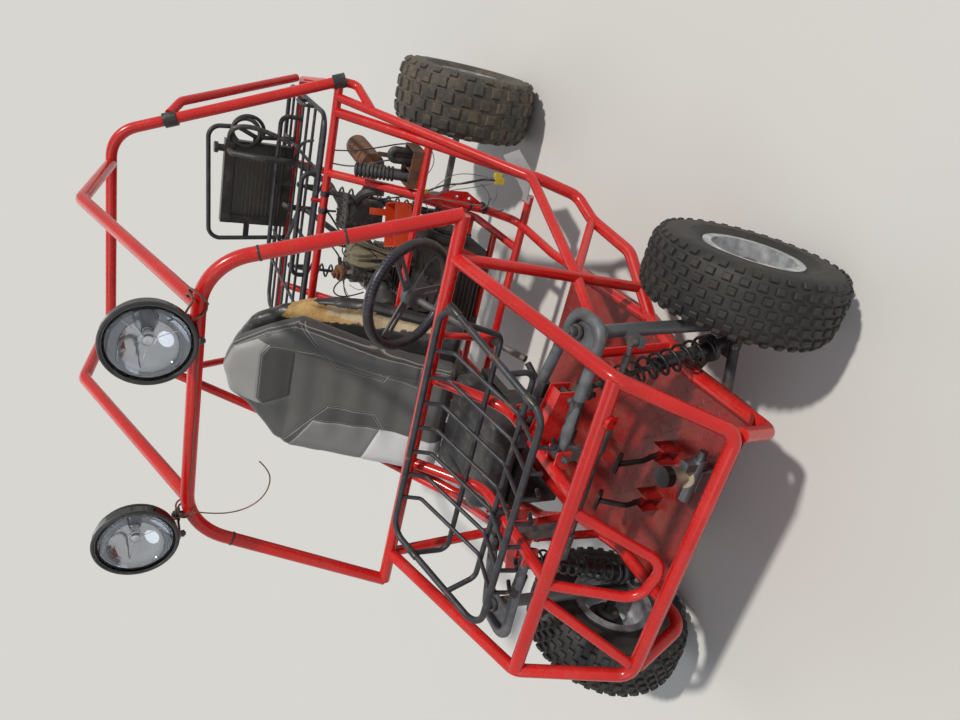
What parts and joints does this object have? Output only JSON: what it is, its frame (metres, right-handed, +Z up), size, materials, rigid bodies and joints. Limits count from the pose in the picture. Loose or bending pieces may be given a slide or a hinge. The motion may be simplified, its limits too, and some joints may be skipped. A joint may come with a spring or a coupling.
{
  "type": "dune buggy",
  "caption": "Open tube-frame dune buggy with all-terrain tyres, one bucket seat, racks, roof lamps and a rear engine.",
  "frame": {"origin": "centre of the bounding box on the ground, below the cabin", "axes": "+Z up, nose towards -Y, +X towards the vehicle's left"},
  "size_m": [1.71, 2.546, 1.8499],
  "materials": {
    "red_frame": "scuffed gloss",
    "black_steel": "satin",
    "grey_steel": "worn satin",
    "engine_metal": "oily",
    "rusty_steel": "rusted",
    "red_plastic": "dusty",
    "tyre_rubber": "matt",
    "rim_silver": "satin",
    "seat_vinyl": "vinyl",
    "black_grip": "matt",
    "lamp_chrome": "polished",
    "lamp_glass": "clear"
  },
  "bodies": {
    "chassis": {"air_intake": "engine_metal", "battery_tray": "red_plastic", "bracket_box": "rusty_steel", "cowl_bar": "red_frame", "drive_chain": "black_steel", "engine_block": "engine_metal", "engine_cradle": "red_frame", "engine_cylinder": "engine_metal", "engine_hoses": "black_grip", "exhaust": "black_steel", "floor_pan": "red_frame", "front_rack": "grey_steel", "front_shocks": "black_steel", "harness": "black_grip", "harness_fittings": "black_grip", "hood_rails": "red_frame", "hoop_clamps": "black_steel", "lamp_glasses": "lamp_glass", "lamp_shells": "lamp_chrome", "lamp_wire": "black_grip", "lower_arms": "black_steel", "master_cylinder": "grey_steel", "mid_rails": "red_frame", "nose_crossbar": "red_frame", "nose_loop": "red_frame", "old_seat_back": "seat_vinyl", "pedals": "black_steel", "radiator": "black_steel", "radiator_hoop": "black_steel", "rear_braces": "red_frame", "rear_crossbar": "red_frame", "rear_hoop": "red_frame", "rear_rack": "grey_steel", "rear_shocks": "black_steel", "roof_rails": "red_frame", "seat_back": "seat_vinyl", "seat_cushion": "seat_vinyl", "seat_pan": "black_steel", "seat_tubes": "red_frame", "side_bows": "red_frame", "side_posts": "red_frame", "steering_rack": "grey_steel", "swing_arm": "red_frame", "tail_frame": "red_frame", "upper_arms": "grey_steel", "windscreen_hoop": "red_frame"},
    "knuckle_left": {"knuckle_left": "black_steel"},
    "knuckle_right": {"knuckle_right": "black_steel"},
    "wheel_front_left": {"front_tyre_left": "tyre_rubber", "front_rim_left": "rim_silver"},
    "wheel_front_right": {"front_tyre_right": "tyre_rubber", "front_rim_right": "rim_silver"},
    "tie_rod_left": {"tie_rod_left": "grey_steel"},
    "tie_rod_right": {"tie_rod_right": "grey_steel"},
    "rear_axle": {"rear_axle": "grey_steel", "rear_rims": "rim_silver", "rear_tyres": "tyre_rubber"},
    "steering_column": {"steering_wheel": "black_grip", "steering_shaft": "black_steel"},
    "steering_link": {"steering_link": "black_steel"}
  },
  "joints": [
    {"name": "steer_left", "type": "hinge", "parent": "chassis", "child": "knuckle_left", "pos_m": [0.4745, -0.882, 0.45], "axis": [-0.0778, 0, 0.997], "range_deg": [-25, 25]},
    {"name": "steer_right", "type": "hinge", "parent": "chassis", "child": "knuckle_right", "pos_m": [-0.4745, -0.882, 0.45], "axis": [0.0778, 0, 0.997], "range_deg": [-25, 25]},
    {"name": "wheel_spin_front_left", "type": "hinge", "parent": "knuckle_left", "child": "wheel_front_left", "pos_m": [0.625, -0.882, 0.267], "axis": [1, 0, 0], "continuous": true},
    {"name": "wheel_spin_front_right", "type": "hinge", "parent": "knuckle_right", "child": "wheel_front_right", "pos_m": [-0.625, -0.882, 0.267], "axis": [1, 0, 0], "continuous": true},
    {"name": "tie_rod_end_left", "type": "hinge", "parent": "knuckle_left", "child": "tie_rod_left", "pos_m": [0.46124, -0.942, 0.62], "axis": [-0.0778, 0, 0.997], "range_deg": [-25, 25]},
    {"name": "tie_rod_end_right", "type": "hinge", "parent": "knuckle_right", "child": "tie_rod_right", "pos_m": [-0.46124, -0.942, 0.62], "axis": [0.0778, 0, 0.997], "range_deg": [-25, 25]},
    {"name": "rear_axle_spin", "type": "hinge", "parent": "chassis", "child": "rear_axle", "pos_m": [0, 0.962, 0.311], "axis": [1, 0, 0], "continuous": true},
    {"name": "steering_turn", "type": "hinge", "parent": "chassis", "child": "steering_column", "pos_m": [0.28, -0.29, 0.945], "axis": [0, 0.9005, 0.4349], "range_deg": [-250, 250]},
    {"name": "steering_link_turn", "type": "hinge", "parent": "chassis", "child": "steering_link", "pos_m": [0.1, -0.915, 0.648], "axis": [0.6064, 0.7221, 0.333], "range_deg": [-250, 250]}
  ],
  "couplings": [
    {"joint": "steer_right", "follows": "steer_left", "ratio": 1},
    {"joint": "tie_rod_end_left", "follows": "steer_left", "ratio": -1},
    {"joint": "tie_rod_end_right", "follows": "steer_left", "ratio": -1},
    {"joint": "steering_turn", "follows": "steer_left", "ratio": 10},
    {"joint": "steering_link_turn", "follows": "steer_left", "ratio": 10}
  ]
}
